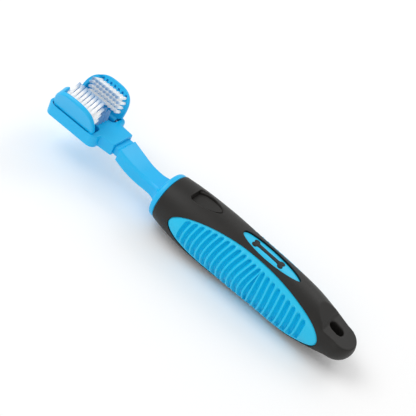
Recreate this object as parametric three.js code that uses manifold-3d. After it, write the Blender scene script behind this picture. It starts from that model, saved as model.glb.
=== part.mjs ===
// Pet toothbrush with a cupped three-sided brush head on a soft overmoulded grip.
// Millimetres. +X runs from the tail of the grip to the brush head, +Y is the left side, +Z is up.
// The origin is under the middle of the brush, on the plane that the grip lies on.
import * as THREE from 'three';
import { mergeVertices } from 'three/addons/utils/BufferGeometryUtils.js';
import Module from 'manifold-3d';

const wasm = await Module();
wasm.setup();

// ---- driving dimensions ----
const BRUSH_LENGTH = 210;
const FIT_GAP = 0.3;

// Grip: stations along X with half width, half height and the height of the section's centre.
const GRIP_STATIONS = [
  { x: 21.5, halfWidth: 15.0, halfHeight: 13.6, centre: 17.0 },
  { x: 12, halfWidth: 16.2, halfHeight: 15.0, centre: 16.3 },
  { x: 0, halfWidth: 16.9, halfHeight: 15.9, centre: 15.8 },
  { x: -25, halfWidth: 17.2, halfHeight: 15.8, centre: 15.5 },
  { x: -50, halfWidth: 16.8, halfHeight: 15.2, centre: 14.9 },
  { x: -70, halfWidth: 15.5, halfHeight: 14.2, centre: 13.9 },
  { x: -84, halfWidth: 13.1, halfHeight: 11.6, centre: 13.7 },
  { x: -95, halfWidth: 10.3, halfHeight: 9.1, centre: 13.7 },
];
const TAIL_X = -BRUSH_LENGTH / 2;
const GRIP_FRONT = GRIP_STATIONS[0].x;
const SLEEVE_THICKNESS = 4.7;
const CORE_INSET = SLEEVE_THICKNESS + FIT_GAP;
const CORE_REAR = -78;
const CORE_OVERLAP = 1;
const STUB_LENGTH = 6;

// Cutters run this far past the middle sideways and upwards, so that they open to the outside.
const CLEAR_SIDE = 30;
const CLEAR_TOP = 45;

// Ribbed side panels: an oval window seen from the side, blunter at the tail.
const PANEL_CENTRE_X = -38.8;
const PANEL_HALF_LENGTH = 49.5;
const PANEL_HALF_HEIGHT = 13.7;
const PANEL_CENTRE_Z = 15.3;
const PANEL_SLOPE = 0.045;
const PANEL_REAR_POWER = 2.15;
const PANEL_THICKNESS = 2.3;
const PANEL_SUNK = 0.3;
const PANEL_NEAREST_Y = 7;

// Name plate in the back of the grip, without any marking: a leaf that is widest a little forward.
const LABEL_WIDEST_X = -41.0;
const LABEL_FRONT = { length: 17.2, power: 1.7, tip: 0.4 };
const LABEL_REAR = { length: 21.8, power: 1.85, tip: 0.75 };
const LABEL_HALF_WIDTH = 5.1;
const LABEL_THICKNESS = 1.2;
const LABEL_SUNK = 1.0;
const LABEL_LOWEST_Z = 20;

// Thumb rest: a teardrop dish with a blunt, deep front.
const THUMB_FRONT = 10;
const THUMB_REAR = -10;
const THUMB_HALF_WIDTH = 7;
const THUMB_FRONT_DEPTH = 4.2;
const THUMB_REAR_DEPTH = 0.7;
const THUMB_PAD_THICKNESS = 1.1;
const THUMB_RUN_OUT = 2;

// Scooped tail and hanging hole.
const SCOOP_START_X = -74.5;
const SCOOP_KNEE = { x: -84.6, z: 22.9 };
const SCOOP_STEP = { x: -86.8, z: 20.8 };
const SCOOP_TAIL_Z = 17.0;
const SCOOP_RUN_OUT = 1;
const HANG_HOLE = { x: -91.3, length: 8.9, width: 5.7 };

// Collar and neck: half width, height of the top face and depth of the section at each station.
const COLLAR_FRONT = 25.2;
const COLLAR_HALF_WIDTH = 14.7;
const COLLAR_HALF_HEIGHT = 13.3;
const COLLAR_ROUND = 1.6;
const NECK_STATIONS = [
  { x: 24, halfWidth: 8.2, top: 22.6, depth: 10.6 },
  { x: 28, halfWidth: 6.8, top: 21.7, depth: 8.8 },
  { x: 34, halfWidth: 6.4, top: 21.5, depth: 8.3 },
  { x: 41, halfWidth: 6.8, top: 21.9, depth: 8.4 },
  { x: 49.3, halfWidth: 7.6, top: 23.7, depth: 8.4 },
  { x: 57.2, halfWidth: 7.8, top: 26.2, depth: 8.3 },
];
const NECK_SQUARENESS = 0.35;
const TONGUE = { halfWidth: 6.4, depth: 5.4, lift: 0.6, rooted: 2, tip: 68.0 };

// Brush head: a rounded tray with a tapered block behind it.
const BLOCK_REAR = 60.5;
const TRAY_REAR = 69.5;
const TRAY_FRONT = BRUSH_LENGTH / 2;
const TRAY_HALF_WIDTH = 14.4;
const TRAY_TOP = 27.3;
const TRAY_DEPTH = 7.9;
const TRAY_CORNER = 4;
const TRAY_EDGE = 0.4;
const BLOCK_EDGE = 0.3;
const BLOCK_OVERLAP = 3;
const BLOCK_HALF_WIDTH_REAR = 8.2;
const BLOCK_HALF_WIDTH_FRONT = 9.3;
const SLOT = { rear: 72.9, front: 102.9, inner: 5.2, outer: 13.8, corner: 2.6, depth: 5.6 };

// Side pads: arched plates on steel pins that lie along X in the tray.
const PAD_FLARE = THREE.MathUtils.degToRad(21);
const PAD_THICKNESS = 2.4;
const PAD_CREST_X = 87.6;
const PAD_REAR = { length: 15.2, power: 3.2 };
const PAD_FRONT = { length: 14.0, power: 2.5 };
const PAD_HEIGHT = 16.3;
const PAD_FOOT = { rear: 74.9, front: 100.0 };
const PAD_FOOT_OVERLAP = 1.2;
const PAD_OVER_TRAY = 0.9;
const PAD_EDGE = [{ at: 0.2, shrink: 0 }, { at: 0.8, shrink: 0.5 }, { at: 1.2, shrink: 1.2 }];
const PAD_LIP = { start: 95.7, foot: 1.5, reach: 4.4, thickness: 1.7 };
const PIN = { y: 11.3, z: 24.9, radius: 0.8, rear: 71.4, front: 104.3 };
const BARREL_RADIUS = 2.0;

// Bristle rows: a row of tufts on a thin foot. Height is measured from the tray's top along the plate.
const TUFT_WIDTH = 1.5;
const TUFT_PITCH = 2.5;
const ROW_FOOT = 0.5;
const PAD_ROWS = [
  { name: 'low', height: 3.0, length: 5.2, count: 9 },
  { name: 'middle', height: 5.8, length: 7.0, count: 9 },
  { name: 'high', height: 8.6, length: 9.2, count: 9 },
  { name: 'rim', height: 11.5, length: 11.0, count: 8 },
];
const PAD_ROW_TILT = THREE.MathUtils.degToRad(5);
const PAD_ROWS_CENTRE_X = 85.8;
const PAD_ROW_LIFT = 0.4;
const CENTRE_ROWS = [
  { name: 'centre_row_far_left', y: 3.75 },
  { name: 'centre_row_left', y: 1.25 },
  { name: 'centre_row_right', y: -1.25 },
  { name: 'centre_row_far_right', y: -3.75 },
];
const CENTRE_TUFT_LENGTH = 6.2;
const CENTRE_TUFT_COUNT = 10;
const CENTRE_ROWS_CENTRE_X = 88.5;

// ---- materials ----
const polypropylene = { color: 0x2fb4ee, roughness: 0.35, metalness: 0 };
const palePolypropylene = { color: 0x58c6f2, roughness: 0.4, metalness: 0 };
const softRubber = { color: 0x3a3a39, roughness: 0.75, metalness: 0 };
const steel = { color: 0xb8bcc0, roughness: 0.3, metalness: 1 };
const whiteNylon = { color: 0xf2f4f4, roughness: 0.5, metalness: 0 };
const clearNylon = { color: 0xc4dce8, roughness: 0.4, metalness: 0 };

const group = new THREE.Group();

function addMesh(name, manifold, look, parent = group) {
  const mesh = new THREE.Mesh(geometryOf(manifold), new THREE.MeshStandardMaterial(look));
  mesh.name = name;
  parent.add(mesh);
  return mesh;
}

// ---- geometry and solids ----
function solidOf(geometry) {
  const bare = geometry.clone();
  bare.deleteAttribute('normal');
  bare.deleteAttribute('uv');
  const merged = mergeVertices(bare, 1e-5);
  const vertProperties = new Float32Array(merged.attributes.position.array);
  const triVerts = new Uint32Array(merged.index.array);
  return new wasm.Manifold(new wasm.Mesh({ numProp: 3, vertProperties, triVerts }));
}

function geometryOf(manifold) {
  const mesh = manifold.getMesh();
  const geometry = new THREE.BufferGeometry();
  geometry.setAttribute('position', new THREE.BufferAttribute(mesh.vertProperties.slice(), 3));
  geometry.setIndex(new THREE.BufferAttribute(mesh.triVerts.slice(), 1));
  geometry.computeVertexNormals();
  return geometry;
}

// A box between two corners.
function block(low, high) {
  const size = high.map((value, i) => value - low[i]);
  const middle = high.map((value, i) => (value + low[i]) / 2);
  return solidOf(new THREE.BoxGeometry(...size).translate(...middle));
}

// An outline in X and Y raised along Z from bottom to top, with an optional rounded edge.
function prism(outline, bottom, top, edge = 0) {
  const geometry = new THREE.ExtrudeGeometry(outline, {
    depth: top - bottom - 2 * edge,
    bevelEnabled: edge > 0,
    bevelThickness: edge,
    bevelSize: edge,
    bevelOffset: -edge,
    bevelSegments: 1,
    curveSegments: 6,
    steps: 1,
  });
  return solidOf(geometry.translate(0, 0, bottom + edge));
}

// An outline in X and Z pushed through along Y.
function sidePrism(outline, low, high) {
  const geometry = new THREE.ExtrudeGeometry(outline, {
    depth: high - low,
    bevelEnabled: false,
    curveSegments: 6,
    steps: 1,
  });
  return solidOf(geometry.rotateX(Math.PI / 2).translate(0, high, 0));
}

function rodAlongX(radius, from, to, y, z, sides = 14) {
  const geometry = new THREE.CylinderGeometry(radius, radius, to - from, sides);
  return solidOf(geometry.rotateZ(Math.PI / 2).translate((from + to) / 2, y, z));
}

function outlineOf(points) {
  return new THREE.Shape(points.map(([x, y]) => new THREE.Vector2(x, y)));
}

function roundedBox(left, bottom, right, top, corner) {
  const shape = new THREE.Shape();
  shape.moveTo(left + corner, bottom);
  shape.lineTo(right - corner, bottom);
  shape.absarc(right - corner, bottom + corner, corner, -Math.PI / 2, 0);
  shape.lineTo(right, top - corner);
  shape.absarc(right - corner, top - corner, corner, 0, Math.PI / 2);
  shape.lineTo(left + corner, top);
  shape.absarc(left + corner, top - corner, corner, Math.PI / 2, Math.PI);
  shape.lineTo(left, bottom + corner);
  shape.absarc(left + corner, bottom + corner, corner, Math.PI, 1.5 * Math.PI);
  return shape;
}

// A body whose section changes along X: place(t, direction) gives the surface point for a share t
// of the length and a unit vector across it. The caps close at each end's centre.
function sweptBody(sides, steps, place) {
  const geometry = new THREE.CylinderGeometry(1, 1, 1, sides, steps).rotateZ(-Math.PI / 2);
  const position = geometry.attributes.position;
  for (let i = 0; i < position.count; i += 1) {
    const across = new THREE.Vector2(position.getY(i), position.getZ(i));
    const point = place(position.getX(i) + 0.5, across);
    position.setXYZ(i, point.x, point.y, point.z);
  }
  return solidOf(geometry);
}

// Smooth value of one dimension between the stations of a list that runs either way along X.
function smoothProfile(stations, key) {
  const ordered = [...stations].sort((a, b) => a.x - b.x);
  return (x) => {
    let i = ordered.findIndex((station) => station.x >= x);
    i = i < 0 ? ordered.length - 1 : Math.max(i, 1);
    const [before, after] = [ordered[i - 1], ordered[i]];
    const slope = (k) => {
      const a = ordered[Math.max(k - 1, 0)];
      const b = ordered[Math.min(k + 1, ordered.length - 1)];
      return (b[key] - a[key]) / (b.x - a.x);
    };
    const span = after.x - before.x;
    const t = (x - before.x) / span;
    const [t2, t3] = [t * t, t * t * t];
    return (2 * t3 - 3 * t2 + 1) * before[key] + (t3 - 2 * t2 + t) * span * slope(i - 1)
      + (3 * t2 - 2 * t3) * after[key] + (t3 - t2) * span * slope(i);
  };
}

// ---- grip ----
const gripHalfWidth = smoothProfile(GRIP_STATIONS, 'halfWidth');
const gripHalfHeight = smoothProfile(GRIP_STATIONS, 'halfHeight');
const gripCentre = smoothProfile(GRIP_STATIONS, 'centre');
const TAIL_ROUND_START = GRIP_STATIONS[GRIP_STATIONS.length - 1].x;
const TAIL_CAP = 0.02;

// The grip's form, made smaller all round by inset, between two places along X.
function gripForm(inset, front, rear, sides = 32, steps = 20) {
  return sweptBody(sides, steps, (t, across) => {
    const share = 1 - t;
    const x = front + (rear - front) * Math.sin(share * Math.PI / 2);
    const roundStart = TAIL_ROUND_START + inset;
    const section = Math.max(x, TAIL_ROUND_START);
    const past = Math.max(0, (roundStart - x) / (roundStart - (TAIL_X + inset)));
    const shrink = Math.max(Math.sqrt(Math.max(0, 1 - past * past)), TAIL_CAP);
    return {
      x,
      y: across.x * (gripHalfWidth(section) - inset) * shrink,
      z: gripCentre(section) + across.y * (gripHalfHeight(section) - inset) * shrink,
    };
  });
}

function panelOutline(grow) {
  const points = [];
  const count = 32;
  for (let i = 0; i < count; i += 1) {
    const angle = (i / count) * 2 * Math.PI;
    const [c, s] = [Math.cos(angle), Math.sin(angle)];
    const power = c < 0 ? 2 / PANEL_REAR_POWER : 1;
    const along = (PANEL_HALF_LENGTH + grow) * Math.sign(c) * Math.abs(c) ** power;
    const across = (PANEL_HALF_HEIGHT + grow) * Math.sign(s) * Math.abs(s) ** power;
    points.push([PANEL_CENTRE_X + along, PANEL_CENTRE_Z + along * PANEL_SLOPE + across]);
  }
  return outlineOf(points);
}

// Two shallow arcs that meet at the tips.
function labelOutline(grow) {
  const points = [];
  const count = 12;
  for (let i = 0; i < 2 * count; i += 1) {
    const side = i < count ? 1 : -1;
    const t = side * Math.cos((i % count) / count * Math.PI);
    const { length, power, tip } = t > 0 ? LABEL_FRONT : LABEL_REAR;
    const across = (LABEL_HALF_WIDTH + grow) * (1 - Math.abs(t) ** power) ** tip;
    points.push([LABEL_WIDEST_X + t * (length + grow), side * across]);
  }
  return outlineOf(points);
}

// Blunt at the front, drawn to a soft point at the rear.
function thumbOutline(shrink) {
  const length = THUMB_FRONT - THUMB_REAR - 2 * shrink;
  const points = [];
  const count = 9;
  for (let i = 0; i <= 2 * count; i += 1) {
    const t = Math.abs(i / count - 1);
    const side = i < count ? -1 : 1;
    const width = (THUMB_HALF_WIDTH - shrink) * (1 - t ** 2.6) ** 0.6 * Math.min(1, 0.72 + t);
    points.push([THUMB_FRONT - shrink - length * t, side * width]);
  }
  points.splice(count, 1);
  return outlineOf(points);
}

// The space above the thumb dish's sloping floor, or above the pad that lies on it.
function thumbSpace(shrink, lift) {
  const crown = gripCentre(0) + gripHalfHeight(0);
  const slope = (THUMB_FRONT_DEPTH - THUMB_REAR_DEPTH) / (THUMB_FRONT - THUMB_REAR);
  const floorAt = (x) => crown - THUMB_REAR_DEPTH - (x - THUMB_REAR) * slope + lift;
  const [rear, front] = [THUMB_REAR - THUMB_RUN_OUT, THUMB_FRONT + THUMB_RUN_OUT];
  const floor = outlineOf([
    [rear, floorAt(rear)],
    [front, floorAt(front)],
    [front, CLEAR_TOP],
    [rear, CLEAR_TOP],
  ]);
  return prism(thumbOutline(shrink), 0, CLEAR_TOP).intersect(sidePrism(floor, -CLEAR_SIDE, CLEAR_SIDE));
}

// Everything above the scooped back of the tail.
function tailScoop() {
  const crown = gripCentre(SCOOP_START_X) + gripHalfHeight(SCOOP_START_X);
  const outline = outlineOf([
    [SCOOP_START_X, crown],
    [SCOOP_KNEE.x, SCOOP_KNEE.z],
    [SCOOP_STEP.x, SCOOP_STEP.z],
    [TAIL_X - SCOOP_RUN_OUT, SCOOP_TAIL_Z],
    [TAIL_X - SCOOP_RUN_OUT, CLEAR_TOP],
    [SCOOP_START_X, CLEAR_TOP],
  ]);
  return sidePrism(outline, -CLEAR_SIDE, CLEAR_SIDE);
}

function hangHole() {
  const { x, length, width } = HANG_HOLE;
  const outline = roundedBox(x - length / 2, -width / 2, x + length / 2, width / 2, width / 2 - 0.05);
  return prism(outline, -CLEAR_TOP, CLEAR_TOP);
}

const outerForm = gripForm(0, GRIP_FRONT, TAIL_X);
const aboveTable = block([-BRUSH_LENGTH, -CLEAR_SIDE, 0], [BRUSH_LENGTH, CLEAR_SIDE, CLEAR_TOP]);
const coreForm = gripForm(CORE_INSET, GRIP_FRONT - CORE_OVERLAP, CORE_REAR, 20, 9);
const coreSpace = gripForm(SLEEVE_THICKNESS, GRIP_FRONT + CORE_OVERLAP, CORE_REAR - FIT_GAP, 20, 9);

// The panel's outline pushed out through one side of the grip.
function panelWindow(side, grow) {
  const nearest = PANEL_NEAREST_Y - grow;
  return sidePrism(panelOutline(grow), ...(side > 0 ? [nearest, CLEAR_SIDE] : [-CLEAR_SIDE, -nearest]));
}

function panelBody(side) {
  const skin = gripForm(PANEL_SUNK, GRIP_FRONT, TAIL_X)
    .subtract(gripForm(PANEL_SUNK + PANEL_THICKNESS, GRIP_FRONT, TAIL_X));
  return panelWindow(side, 0).intersect(skin);
}

function panelPocket(side) {
  return panelWindow(side, FIT_GAP)
    .subtract(gripForm(PANEL_SUNK + PANEL_THICKNESS + FIT_GAP, GRIP_FRONT, TAIL_X));
}

const labelPlate = prism(labelOutline(0), LABEL_LOWEST_Z, CLEAR_TOP)
  .intersect(gripForm(LABEL_SUNK, GRIP_FRONT, TAIL_X))
  .subtract(gripForm(LABEL_SUNK + LABEL_THICKNESS, GRIP_FRONT, TAIL_X));
const labelPocket = prism(labelOutline(FIT_GAP), LABEL_LOWEST_Z, CLEAR_TOP)
  .subtract(gripForm(LABEL_SUNK + LABEL_THICKNESS + FIT_GAP, GRIP_FRONT, TAIL_X));

const thumbPocket = thumbSpace(0, 0);
const thumbPad = thumbSpace(FIT_GAP, FIT_GAP)
  .subtract(thumbSpace(0, FIT_GAP + THUMB_PAD_THICKNESS))
  .intersect(outerForm);

const gripSleeve = outerForm
  .intersect(aboveTable)
  .subtract(coreSpace)
  .subtract(panelPocket(1))
  .subtract(panelPocket(-1))
  .subtract(labelPocket)
  .subtract(thumbPocket)
  .subtract(tailScoop())
  .subtract(hangHole());

// ---- neck ----
const neckHalfWidth = smoothProfile(NECK_STATIONS, 'halfWidth');
const neckTop = smoothProfile(NECK_STATIONS, 'top');
const neckDepth = smoothProfile(NECK_STATIONS, 'depth');
const NECK_REAR = NECK_STATIONS[0].x;
const NECK_FRONT = NECK_STATIONS[NECK_STATIONS.length - 1].x;

// Turns a circle into a rectangle with soft corners.
function squared(value) {
  return Math.abs(value) < 1e-6 ? 0 : Math.sign(value) * Math.abs(value) ** NECK_SQUARENESS;
}

function neckForm() {
  return sweptBody(24, 10, (t, across) => {
    const x = NECK_REAR + (NECK_FRONT - NECK_REAR) * t;
    const depth = neckDepth(x);
    return {
      x,
      y: squared(across.x) * neckHalfWidth(x),
      z: neckTop(x) - depth / 2 + squared(across.y) * depth / 2,
    };
  });
}

function collarForm() {
  const rear = GRIP_FRONT + FIT_GAP;
  const centre = gripCentre(GRIP_FRONT);
  return sweptBody(32, 5, (t, across) => {
    const x = rear + (COLLAR_FRONT - rear) * t;
    const past = Math.max(0, (x - (COLLAR_FRONT - COLLAR_ROUND)) / COLLAR_ROUND);
    const inset = COLLAR_ROUND * (1 - Math.sqrt(1 - Math.min(past * past, 1)));
    return {
      x,
      y: across.x * (COLLAR_HALF_WIDTH - inset),
      z: centre + across.y * (COLLAR_HALF_HEIGHT - inset),
    };
  });
}

const TONGUE_MIDDLE = neckTop(NECK_FRONT) - neckDepth(NECK_FRONT) / 2 + TONGUE.lift;

function tongueForm(grow, from, to) {
  return block(
    [from, -TONGUE.halfWidth - grow, TONGUE_MIDDLE - TONGUE.depth / 2 - grow],
    [to, TONGUE.halfWidth + grow, TONGUE_MIDDLE + TONGUE.depth / 2 + grow],
  );
}

// The core's front stub joins the collar through the mouth of the sleeve.
const coreStub = gripForm(CORE_INSET, GRIP_FRONT + CORE_OVERLAP, GRIP_FRONT - STUB_LENGTH, 20, 2);
const neckCore = coreForm.add(coreStub).add(collarForm()).add(neckForm())
  .add(tongueForm(0, NECK_FRONT - TONGUE.rooted, TONGUE.tip));

// ---- brush head ----
function blockForm() {
  const outline = outlineOf([
    [BLOCK_REAR, -BLOCK_HALF_WIDTH_REAR],
    [TRAY_REAR + BLOCK_OVERLAP, -BLOCK_HALF_WIDTH_FRONT],
    [TRAY_REAR + BLOCK_OVERLAP, BLOCK_HALF_WIDTH_FRONT],
    [BLOCK_REAR, BLOCK_HALF_WIDTH_REAR],
  ]);
  return prism(outline, TRAY_TOP - TRAY_DEPTH, TRAY_TOP, BLOCK_EDGE);
}

function trayForm() {
  const outline = roundedBox(TRAY_REAR, -TRAY_HALF_WIDTH, TRAY_FRONT, TRAY_HALF_WIDTH, TRAY_CORNER);
  return prism(outline, TRAY_TOP - TRAY_DEPTH, TRAY_TOP, TRAY_EDGE);
}

function padSlot(side) {
  const [low, high] = side > 0 ? [SLOT.inner, SLOT.outer] : [-SLOT.outer, -SLOT.inner];
  const outline = roundedBox(SLOT.rear, low, SLOT.front, high, SLOT.corner);
  return prism(outline, TRAY_TOP - SLOT.depth, CLEAR_TOP);
}

function pinBore(side) {
  return rodAlongX(PIN.radius + FIT_GAP, PIN.rear - FIT_GAP, PIN.front + FIT_GAP, side * PIN.y, PIN.z);
}

const headBase = trayForm().add(blockForm())
  .subtract(padSlot(1)).subtract(padSlot(-1))
  .subtract(pinBore(1)).subtract(pinBore(-1))
  .subtract(tongueForm(FIT_GAP, NECK_FRONT, TONGUE.tip + FIT_GAP));

// ---- side pads ----
// Each pad is drawn upright in its own axes: X along the brush, Y away from the teeth, Z up the plate,
// with the plate's middle over the pin. It is then leaned outwards about the pin.
const PIN_BELOW_TOP = (TRAY_TOP - PIN.z) / Math.cos(PAD_FLARE);

function padOutline(shrink) {
  const points = [];
  const count = 20;
  for (let i = 0; i <= count; i += 1) {
    const t = Math.cos((i / count) * Math.PI);
    const { length, power } = t < 0 ? PAD_REAR : PAD_FRONT;
    const height = PAD_HEIGHT * Math.max(0, 1 - Math.abs(t) ** power) ** (1 / power);
    points.push([
      PAD_CREST_X + t * (length - shrink),
      PIN_BELOW_TOP + Math.max(height - shrink, PAD_OVER_TRAY),
    ]);
  }
  points.unshift([PAD_FOOT.front, PIN_BELOW_TOP - PAD_FOOT_OVERLAP]);
  points.push([PAD_FOOT.rear, PIN_BELOW_TOP - PAD_FOOT_OVERLAP]);
  return outlineOf(points);
}

// The plate's outer edge is rounded off in steps.
function padPlate() {
  let from = -PAD_THICKNESS / 2;
  return wasm.Manifold.union(PAD_EDGE.map(({ at, shrink }) => {
    const layer = sidePrism(padOutline(shrink), from, at);
    from = at;
    return layer;
  }));
}

function padFoot() {
  const half = PAD_THICKNESS / 2;
  return block([PAD_FOOT.rear, -half, 0], [PAD_FOOT.front, half, PIN_BELOW_TOP + PAD_OVER_TRAY]);
}

// A lip that follows the arch round the front of the plate and hooks in towards the teeth.
function padLip() {
  const ring = sidePrism(padOutline(0), -PAD_THICKNESS / 2 - PAD_LIP.reach, 0)
    .subtract(sidePrism(padOutline(PAD_LIP.thickness), -CLEAR_SIDE, CLEAR_SIDE));
  const front = block([PAD_LIP.start, -CLEAR_SIDE, PIN_BELOW_TOP + PAD_LIP.foot],
    [BRUSH_LENGTH, CLEAR_SIDE, CLEAR_TOP]);
  return ring.intersect(front);
}

const uprightPad = padPlate().add(padFoot()).add(padLip())
  .add(rodAlongX(BARREL_RADIUS, PAD_FOOT.rear, PAD_FOOT.front, 0, 0, 18))
  .subtract(rodAlongX(PIN.radius + FIT_GAP, PIN.rear, PIN.front, 0, 0));

// A row of tufts along X on a thin foot, standing along Z from height 0.
function bristleRow(length, count, centreX) {
  const start = centreX - ((count - 1) / 2) * TUFT_PITCH - TUFT_WIDTH / 2;
  const end = start + (count - 1) * TUFT_PITCH + TUFT_WIDTH;
  const points = [[start, 0], [end, 0]];
  for (let i = count - 1; i >= 0; i -= 1) {
    const left = start + i * TUFT_PITCH;
    const right = left + TUFT_WIDTH;
    if (i < count - 1) points.push([right, ROW_FOOT]);
    points.push([right, length], [left, length]);
    if (i > 0) points.push([left, ROW_FOOT]);
  }
  return sidePrism(outlineOf(points), -TUFT_WIDTH / 2, TUFT_WIDTH / 2);
}

function padHolder(side) {
  const holder = new THREE.Group();
  holder.position.set(0, side * PIN.y, PIN.z);
  holder.rotation.x = -side * PAD_FLARE;
  group.add(holder);
  return holder;
}

// Mirrors a solid drawn for the left pad when it is for the right one.
function handed(manifold, side) {
  return side > 0 ? manifold : manifold.mirror([0, 1, 0]);
}

function addPad(side, label) {
  const holder = padHolder(side);
  addMesh(`${label}_pad`, handed(uprightPad, side), polypropylene, holder);
  for (const row of PAD_ROWS) {
    const tufts = bristleRow(row.length, row.count, PAD_ROWS_CENTRE_X)
      .rotate([90 - THREE.MathUtils.radToDeg(PAD_ROW_TILT), 0, 0])
      .translate([0, -PAD_THICKNESS / 2 - PAD_ROW_LIFT, PIN_BELOW_TOP + row.height]);
    addMesh(`${label}_bristles_${row.name}`, handed(tufts, side), whiteNylon, holder);
  }
  const pin = rodAlongX(PIN.radius, PIN.rear, PIN.front, side * PIN.y, PIN.z);
  addMesh(`${label}_pad_pin`, pin, steel);
}

// ---- assembly ----
addMesh('neck_core', neckCore, polypropylene);
addMesh('grip_sleeve', gripSleeve, softRubber);
addMesh('left_grip_panel', panelBody(1), palePolypropylene);
addMesh('right_grip_panel', panelBody(-1), palePolypropylene);
addMesh('label_plate', labelPlate, palePolypropylene);
addMesh('thumb_pad', thumbPad, softRubber);
addMesh('head_base', headBase, polypropylene);
addPad(1, 'left');
addPad(-1, 'right');
for (const row of CENTRE_ROWS) {
  const tufts = bristleRow(CENTRE_TUFT_LENGTH, CENTRE_TUFT_COUNT, CENTRE_ROWS_CENTRE_X)
    .translate([0, row.y, TRAY_TOP + FIT_GAP]);
  addMesh(row.name, tufts, clearNylon);
}

export default group;
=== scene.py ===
# Pet toothbrush: the looks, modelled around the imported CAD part. Metres, in the CAD part's own frame:
# +X towards the brush head, +Y the left side, +Z up.
import math

import bpy
from mathutils import Matrix, Vector


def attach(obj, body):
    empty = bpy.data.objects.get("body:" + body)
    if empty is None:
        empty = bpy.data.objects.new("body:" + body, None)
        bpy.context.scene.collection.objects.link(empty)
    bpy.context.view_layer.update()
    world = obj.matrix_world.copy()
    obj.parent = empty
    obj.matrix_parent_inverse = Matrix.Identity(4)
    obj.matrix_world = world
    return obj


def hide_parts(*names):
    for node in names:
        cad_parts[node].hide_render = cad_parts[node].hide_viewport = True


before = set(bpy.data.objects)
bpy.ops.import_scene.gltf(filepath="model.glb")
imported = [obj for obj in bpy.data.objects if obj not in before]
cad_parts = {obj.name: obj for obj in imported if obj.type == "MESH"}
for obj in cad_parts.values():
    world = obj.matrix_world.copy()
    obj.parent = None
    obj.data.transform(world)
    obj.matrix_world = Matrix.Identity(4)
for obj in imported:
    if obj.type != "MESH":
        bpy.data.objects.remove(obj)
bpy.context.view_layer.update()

MM = 0.001


# ---- materials ----
def linear(hex_colour):
    """An sRGB hex colour as linear red, green, blue and alpha."""
    def channel(value):
        return value / 12.92 if value <= 0.04045 else ((value + 0.055) / 1.055) ** 2.4
    parts = [int(hex_colour[i:i + 2], 16) / 255 for i in (0, 2, 4)]
    return (*[channel(p) for p in parts], 1)


def node(tree, kind, links=None, **settings):
    """Adds a node with its settings and input values, and links the sockets named in links."""
    made = tree.nodes.new(kind)
    for name, value in settings.items():
        if hasattr(made, name):
            setattr(made, name, value)
        else:
            made.inputs[name.replace("_", " ")].default_value = value
    for name, source in (links or {}).items():
        tree.links.new(source, made.inputs[name])
    return made


def finish_named(name):
    """An empty material and its shader, named for the real finish."""
    material = bpy.data.materials.new(name)
    material.use_nodes = True
    return material, material.node_tree, material.node_tree.nodes["Principled BSDF"]


def moulded_plastic(name, light, deep, roughness, grain_mm):
    """Injection-moulded polypropylene: an even colour that turns a little deeper in slow flow clouds,
    and a satin gloss broken by the tool's fine spark grain."""
    material, tree, shader = finish_named(name)
    place = node(tree, "ShaderNodeTexCoord").outputs["Object"]
    clouds = node(tree, "ShaderNodeTexNoise", {"Vector": place}, Scale=90.0, Detail=2.0)
    tint = node(tree, "ShaderNodeMix", {"Factor": clouds.outputs["Fac"]}, data_type="RGBA")
    tint.inputs["A"].default_value, tint.inputs["B"].default_value = linear(deep), linear(light)
    tree.links.new(tint.outputs["Result"], shader.inputs["Base Color"])
    grain = node(tree, "ShaderNodeTexNoise", {"Vector": place}, Scale=1000 / grain_mm, Detail=3.0)
    sheen = node(tree, "ShaderNodeMapRange", {"Value": grain.outputs["Fac"]})
    sheen.inputs["To Min"].default_value = roughness - 0.06
    sheen.inputs["To Max"].default_value = roughness + 0.08
    tree.links.new(sheen.outputs["Result"], shader.inputs["Roughness"])
    bump = node(tree, "ShaderNodeBump", {"Height": grain.outputs["Fac"]}, Strength=0.12, Distance=0.05 * MM)
    tree.links.new(bump.outputs["Normal"], shader.inputs["Normal"])
    shader.inputs["IOR"].default_value = 1.49
    return material


BLUE = moulded_plastic("moulded_blue_polypropylene", "04BAF2", "00B2EC", 0.34, 0.5)
PANEL_BLUE = moulded_plastic("moulded_sky_blue_elastomer", "0CC4EE", "06BCE8", 0.38, 0.6)

# Steel pins: drawn and ground rod, so bright streaks run along it.
STEEL, tree, shader = finish_named("drawn_stainless_steel")
shader.inputs["Base Color"].default_value = linear("C6C8CA")
shader.inputs["Metallic"].default_value = 1.0
place = node(tree, "ShaderNodeTexCoord").outputs["Object"]
along = node(tree, "ShaderNodeMapping", {"Vector": place}, vector_type="POINT")
along.inputs["Scale"].default_value = (300, 9000, 9000)
streak = node(tree, "ShaderNodeTexNoise", {"Vector": along.outputs["Vector"]}, Scale=1.0, Detail=2.0)
sheen = node(tree, "ShaderNodeMapRange", {"Value": streak.outputs["Fac"]})
sheen.inputs["To Min"].default_value, sheen.inputs["To Max"].default_value = 0.18, 0.38
tree.links.new(sheen.outputs["Result"], shader.inputs["Roughness"])


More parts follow.
